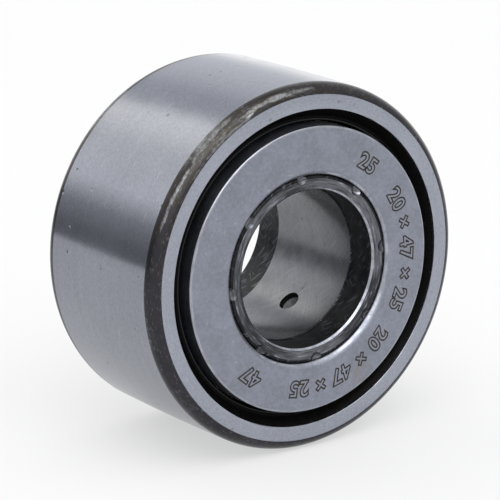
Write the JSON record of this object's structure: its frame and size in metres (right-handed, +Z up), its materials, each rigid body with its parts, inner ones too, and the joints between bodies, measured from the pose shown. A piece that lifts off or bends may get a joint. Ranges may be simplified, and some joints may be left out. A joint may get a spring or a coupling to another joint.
{
  "type": "cam follower",
  "caption": "Yoke-type track roller: a thick, slightly crowned outer ring turns on caged needles round an inner ring with a plain pin bore, sealed behind pressed-on side plates.",
  "frame": {"origin": "centre of the bearing, on the bore's axis, midway between the side faces", "axes": "+Y along the bore's axis from the front face to the back face, +Z up, +X right seen from the front"},
  "size_m": [0.047, 0.025, 0.047],
  "materials": {
    "ground_steel": "fine ground",
    "inner_ring_steel": "hardened, ground in the bore, with turned ends",
    "plate_steel": "tumbled satin",
    "seal_rubber": "smooth black",
    "washer_plastic": "natural",
    "cage_steel": "rolled",
    "needle_steel": "polished"
  },
  "bodies": {
    "inner": {"inner_ring": "inner_ring_steel", "side_plate_front": "plate_steel", "side_plate_back": "plate_steel"},
    "outer": {"outer_ring": "ground_steel", "seal_front": "seal_rubber", "seal_back": "seal_rubber", "thrust_washer_front": "washer_plastic", "thrust_washer_back": "washer_plastic"},
    "cage": {"needle_cage": "cage_steel"},
    "needle_01": {"needle_01": "needle_steel"},
    "needle_02": {"needle_02": "needle_steel"},
    "needle_03": {"needle_03": "needle_steel"},
    "needle_04": {"needle_04": "needle_steel"},
    "needle_05": {"needle_05": "needle_steel"},
    "needle_06": {"needle_06": "needle_steel"},
    "needle_07": {"needle_07": "needle_steel"},
    "needle_08": {"needle_08": "needle_steel"},
    "needle_09": {"needle_09": "needle_steel"},
    "needle_10": {"needle_10": "needle_steel"},
    "needle_11": {"needle_11": "needle_steel"},
    "needle_12": {"needle_12": "needle_steel"},
    "needle_13": {"needle_13": "needle_steel"},
    "needle_14": {"needle_14": "needle_steel"},
    "needle_15": {"needle_15": "needle_steel"},
    "needle_16": {"needle_16": "needle_steel"},
    "needle_17": {"needle_17": "needle_steel"},
    "needle_18": {"needle_18": "needle_steel"}
  },
  "joints": [
    {"name": "roller_turn", "type": "hinge", "parent": "inner", "child": "outer", "pos_m": [0, 0, 0], "axis": [0, 1, 0], "continuous": true},
    {"name": "cage_turn", "type": "hinge", "parent": "inner", "child": "cage", "pos_m": [0, 0, 0], "axis": [0, 1, 0], "continuous": true},
    {"name": "needle_01_spin", "type": "hinge", "parent": "cage", "child": "needle_01", "pos_m": [0, 0, 0.014], "axis": [0, 1, 0], "continuous": true},
    {"name": "needle_02_spin", "type": "hinge", "parent": "cage", "child": "needle_02", "pos_m": [0.00479, 0, 0.01316], "axis": [0, 1, 0], "continuous": true},
    {"name": "needle_03_spin", "type": "hinge", "parent": "cage", "child": "needle_03", "pos_m": [0.009, 0, 0.01072], "axis": [0, 1, 0], "continuous": true},
    {"name": "needle_04_spin", "type": "hinge", "parent": "cage", "child": "needle_04", "pos_m": [0.01212, 0, 0.007], "axis": [0, 1, 0], "continuous": true},
    {"name": "needle_05_spin", "type": "hinge", "parent": "cage", "child": "needle_05", "pos_m": [0.01379, 0, 0.00243], "axis": [0, 1, 0], "continuous": true},
    {"name": "needle_06_spin", "type": "hinge", "parent": "cage", "child": "needle_06", "pos_m": [0.01379, 0, -0.00243], "axis": [0, 1, 0], "continuous": true},
    {"name": "needle_07_spin", "type": "hinge", "parent": "cage", "child": "needle_07", "pos_m": [0.01212, 0, -0.007], "axis": [0, 1, 0], "continuous": true},
    {"name": "needle_08_spin", "type": "hinge", "parent": "cage", "child": "needle_08", "pos_m": [0.009, 0, -0.01072], "axis": [0, 1, 0], "continuous": true},
    {"name": "needle_09_spin", "type": "hinge", "parent": "cage", "child": "needle_09", "pos_m": [0.00479, 0, -0.01316], "axis": [0, 1, 0], "continuous": true},
    {"name": "needle_10_spin", "type": "hinge", "parent": "cage", "child": "needle_10", "pos_m": [0, 0, -0.014], "axis": [0, 1, 0], "continuous": true},
    {"name": "needle_11_spin", "type": "hinge", "parent": "cage", "child": "needle_11", "pos_m": [-0.00479, 0, -0.01316], "axis": [0, 1, 0], "continuous": true},
    {"name": "needle_12_spin", "type": "hinge", "parent": "cage", "child": "needle_12", "pos_m": [-0.009, 0, -0.01072], "axis": [0, 1, 0], "continuous": true},
    {"name": "needle_13_spin", "type": "hinge", "parent": "cage", "child": "needle_13", "pos_m": [-0.01212, 0, -0.007], "axis": [0, 1, 0], "continuous": true},
    {"name": "needle_14_spin", "type": "hinge", "parent": "cage", "child": "needle_14", "pos_m": [-0.01379, 0, -0.00243], "axis": [0, 1, 0], "continuous": true},
    {"name": "needle_15_spin", "type": "hinge", "parent": "cage", "child": "needle_15", "pos_m": [-0.01379, 0, 0.00243], "axis": [0, 1, 0], "continuous": true},
    {"name": "needle_16_spin", "type": "hinge", "parent": "cage", "child": "needle_16", "pos_m": [-0.01212, 0, 0.007], "axis": [0, 1, 0], "continuous": true},
    {"name": "needle_17_spin", "type": "hinge", "parent": "cage", "child": "needle_17", "pos_m": [-0.009, 0, 0.01072], "axis": [0, 1, 0], "continuous": true},
    {"name": "needle_18_spin", "type": "hinge", "parent": "cage", "child": "needle_18", "pos_m": [-0.00479, 0, 0.01316], "axis": [0, 1, 0], "continuous": true}
  ],
  "couplings": [
    {"joint": "cage_turn", "follows": "roller_turn", "ratio": 0.55357},
    {"joint": "needle_01_spin", "follows": "roller_turn", "ratio": 4.6131},
    {"joint": "needle_02_spin", "follows": "roller_turn", "ratio": 4.6131},
    {"joint": "needle_03_spin", "follows": "roller_turn", "ratio": 4.6131},
    {"joint": "needle_04_spin", "follows": "roller_turn", "ratio": 4.6131},
    {"joint": "needle_05_spin", "follows": "roller_turn", "ratio": 4.6131},
    {"joint": "needle_06_spin", "follows": "roller_turn", "ratio": 4.6131},
    {"joint": "needle_07_spin", "follows": "roller_turn", "ratio": 4.6131},
    {"joint": "needle_08_spin", "follows": "roller_turn", "ratio": 4.6131},
    {"joint": "needle_09_spin", "follows": "roller_turn", "ratio": 4.6131},
    {"joint": "needle_10_spin", "follows": "roller_turn", "ratio": 4.6131},
    {"joint": "needle_11_spin", "follows": "roller_turn", "ratio": 4.6131},
    {"joint": "needle_12_spin", "follows": "roller_turn", "ratio": 4.6131},
    {"joint": "needle_13_spin", "follows": "roller_turn", "ratio": 4.6131},
    {"joint": "needle_14_spin", "follows": "roller_turn", "ratio": 4.6131},
    {"joint": "needle_15_spin", "follows": "roller_turn", "ratio": 4.6131},
    {"joint": "needle_16_spin", "follows": "roller_turn", "ratio": 4.6131},
    {"joint": "needle_17_spin", "follows": "roller_turn", "ratio": 4.6131},
    {"joint": "needle_18_spin", "follows": "roller_turn", "ratio": 4.6131}
  ]
}
